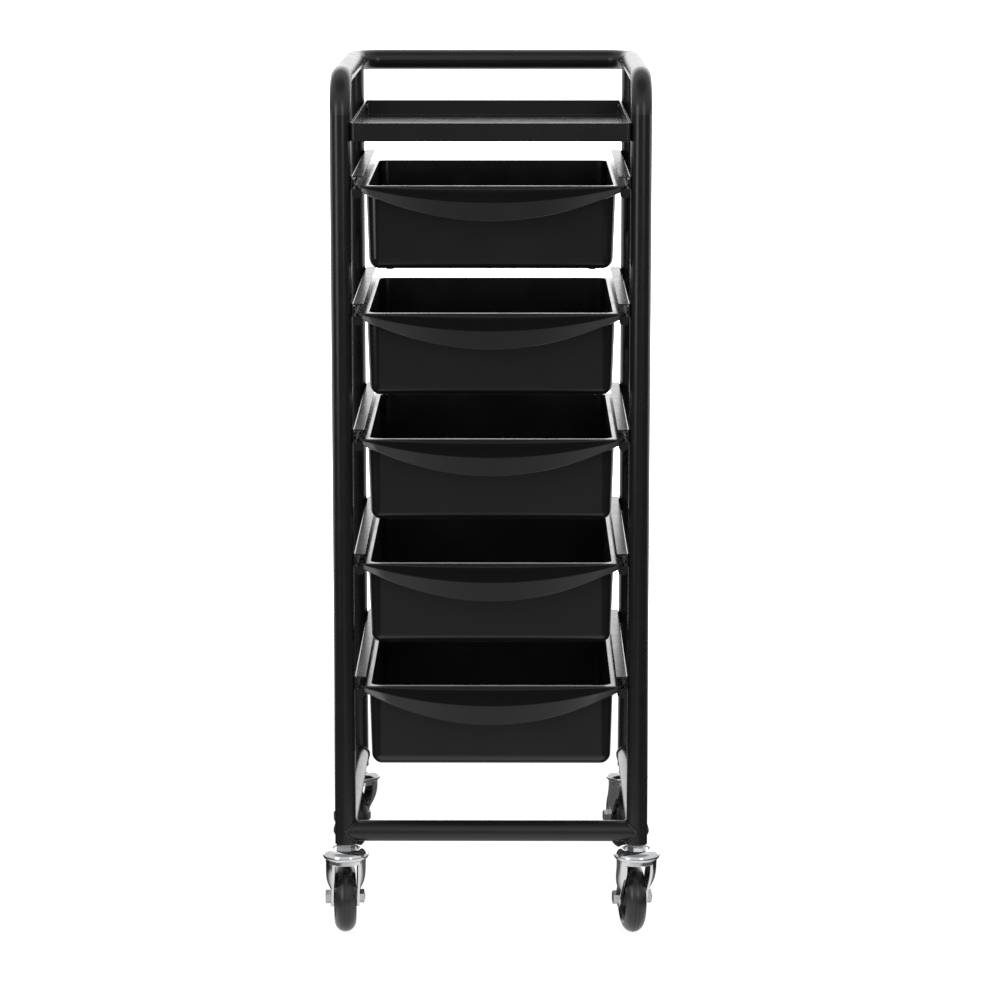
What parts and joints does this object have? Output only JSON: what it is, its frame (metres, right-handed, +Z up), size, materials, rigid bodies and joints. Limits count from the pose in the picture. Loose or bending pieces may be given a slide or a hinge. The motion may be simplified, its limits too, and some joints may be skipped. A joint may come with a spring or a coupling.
{
  "type": "rolling salon trolley",
  "caption": "Tall narrow black trolley with a bent tube frame, a shallow top tray, stacked slide-out drawers with bowed pulls and chrome swivel casters, for salon tools.",
  "frame": {"origin": "on the floor, in the middle of the trolley's footprint, pulls and trailing wheels included", "axes": "+Z up; drawers open towards -Y, the front; +X to the right of someone facing the back"},
  "size_m": [0.3623, 0.4401, 0.917],
  "materials": {
    "black_powder_coat": "satin black powder coat",
    "black_plastic": "moulded black plastic, soft gloss",
    "chrome_plate": "bright chrome plate",
    "ball_steel": "polished bearing steel",
    "zinc_steel": "zinc plated",
    "black_screw": "black oxide",
    "grey_nylon": "dark grey nylon",
    "black_rubber": "black rubber"
  },
  "bodies": {
    "frame": {"bent_tube_loop": "black_powder_coat", "rear_post_left": "black_powder_coat", "rear_post_right": "black_powder_coat", "bottom_rail_left": "black_powder_coat", "bottom_rail_right": "black_powder_coat", "front_crossbar": "black_powder_coat", "top_tray": "black_powder_coat", "runner_1_left": "black_powder_coat", "runner_1_right": "black_powder_coat", "runner_2_left": "black_powder_coat", "runner_2_right": "black_powder_coat", "runner_3_left": "black_powder_coat", "runner_3_right": "black_powder_coat", "runner_4_left": "black_powder_coat", "runner_4_right": "black_powder_coat", "runner_5_left": "black_powder_coat", "runner_5_right": "black_powder_coat", "runner_screws": "black_screw", "tray_screws": "black_screw", "stem_sockets": "zinc_steel", "caster_front_left_stem": "chrome_plate", "caster_front_left_race_cup": "chrome_plate", "caster_front_right_stem": "chrome_plate", "caster_front_right_race_cup": "chrome_plate", "caster_rear_left_stem": "chrome_plate", "caster_rear_left_race_cup": "chrome_plate", "caster_rear_right_stem": "chrome_plate", "caster_rear_right_race_cup": "chrome_plate"},
    "drawer_1": {"drawer_1": "black_plastic"},
    "drawer_2": {"drawer_2": "black_plastic"},
    "drawer_3": {"drawer_3": "black_plastic"},
    "drawer_4": {"drawer_4": "black_plastic"},
    "drawer_5": {"drawer_5": "black_plastic"},
    "front_left_caster": {"caster_front_left_fork": "chrome_plate", "caster_front_left_bearing_balls": "ball_steel", "caster_front_left_axle_bolt": "chrome_plate", "caster_front_left_axle_nut": "chrome_plate"},
    "front_left_wheel": {"caster_front_left_wheel_hub": "grey_nylon", "caster_front_left_tyre": "black_rubber"},
    "front_right_caster": {"caster_front_right_fork": "chrome_plate", "caster_front_right_bearing_balls": "ball_steel", "caster_front_right_axle_bolt": "chrome_plate", "caster_front_right_axle_nut": "chrome_plate"},
    "front_right_wheel": {"caster_front_right_wheel_hub": "grey_nylon", "caster_front_right_tyre": "black_rubber"},
    "rear_left_caster": {"caster_rear_left_fork": "chrome_plate", "caster_rear_left_bearing_balls": "ball_steel", "caster_rear_left_axle_bolt": "chrome_plate", "caster_rear_left_axle_nut": "chrome_plate"},
    "rear_left_wheel": {"caster_rear_left_wheel_hub": "grey_nylon", "caster_rear_left_tyre": "black_rubber"},
    "rear_right_caster": {"caster_rear_right_fork": "chrome_plate", "caster_rear_right_bearing_balls": "ball_steel", "caster_rear_right_axle_bolt": "chrome_plate", "caster_rear_right_axle_nut": "chrome_plate"},
    "rear_right_wheel": {"caster_rear_right_wheel_hub": "grey_nylon", "caster_rear_right_tyre": "black_rubber"}
  },
  "joints": [
    {"name": "drawer_1_slide", "type": "slide", "parent": "frame", "child": "drawer_1", "axis": [0, -1, 0], "range_m": [0, 0.26]},
    {"name": "drawer_2_slide", "type": "slide", "parent": "frame", "child": "drawer_2", "axis": [0, -1, 0], "range_m": [0, 0.26]},
    {"name": "drawer_3_slide", "type": "slide", "parent": "frame", "child": "drawer_3", "axis": [0, -1, 0], "range_m": [0, 0.26]},
    {"name": "drawer_4_slide", "type": "slide", "parent": "frame", "child": "drawer_4", "axis": [0, -1, 0], "range_m": [0, 0.26]},
    {"name": "drawer_5_slide", "type": "slide", "parent": "frame", "child": "drawer_5", "axis": [0, -1, 0], "range_m": [0, 0.26]},
    {"name": "front_left_swivel", "type": "hinge", "parent": "frame", "child": "front_left_caster", "pos_m": [-0.1535, -0.17, 0.0875], "axis": [0, 0, 1], "continuous": true},
    {"name": "front_left_roll", "type": "hinge", "parent": "front_left_caster", "child": "front_left_wheel", "pos_m": [-0.15594, -0.14211, 0.0375], "axis": [0.9962, 0.0872, 0], "continuous": true},
    {"name": "front_right_swivel", "type": "hinge", "parent": "frame", "child": "front_right_caster", "pos_m": [0.1535, -0.17, 0.0875], "axis": [0, 0, 1], "continuous": true},
    {"name": "front_right_roll", "type": "hinge", "parent": "front_right_caster", "child": "front_right_wheel", "pos_m": [0.1496, -0.14227, 0.0375], "axis": [0.9903, 0.1392, 0], "continuous": true},
    {"name": "rear_left_swivel", "type": "hinge", "parent": "frame", "child": "rear_left_caster", "pos_m": [-0.1535, 0.16, 0.0875], "axis": [0, 0, 1], "continuous": true},
    {"name": "rear_left_roll", "type": "hinge", "parent": "rear_left_caster", "child": "rear_left_wheel", "pos_m": [-0.16308, 0.18631, 0.0375], "axis": [0.9397, 0.342, 0], "continuous": true},
    {"name": "rear_right_swivel", "type": "hinge", "parent": "frame", "child": "rear_right_caster", "pos_m": [0.1535, 0.16, 0.0875], "axis": [0, 0, 1], "continuous": true},
    {"name": "rear_right_roll", "type": "hinge", "parent": "rear_right_caster", "child": "rear_right_wheel", "pos_m": [0.14768, 0.18739, 0.0375], "axis": [0.9781, 0.2079, 0], "continuous": true}
  ]
}
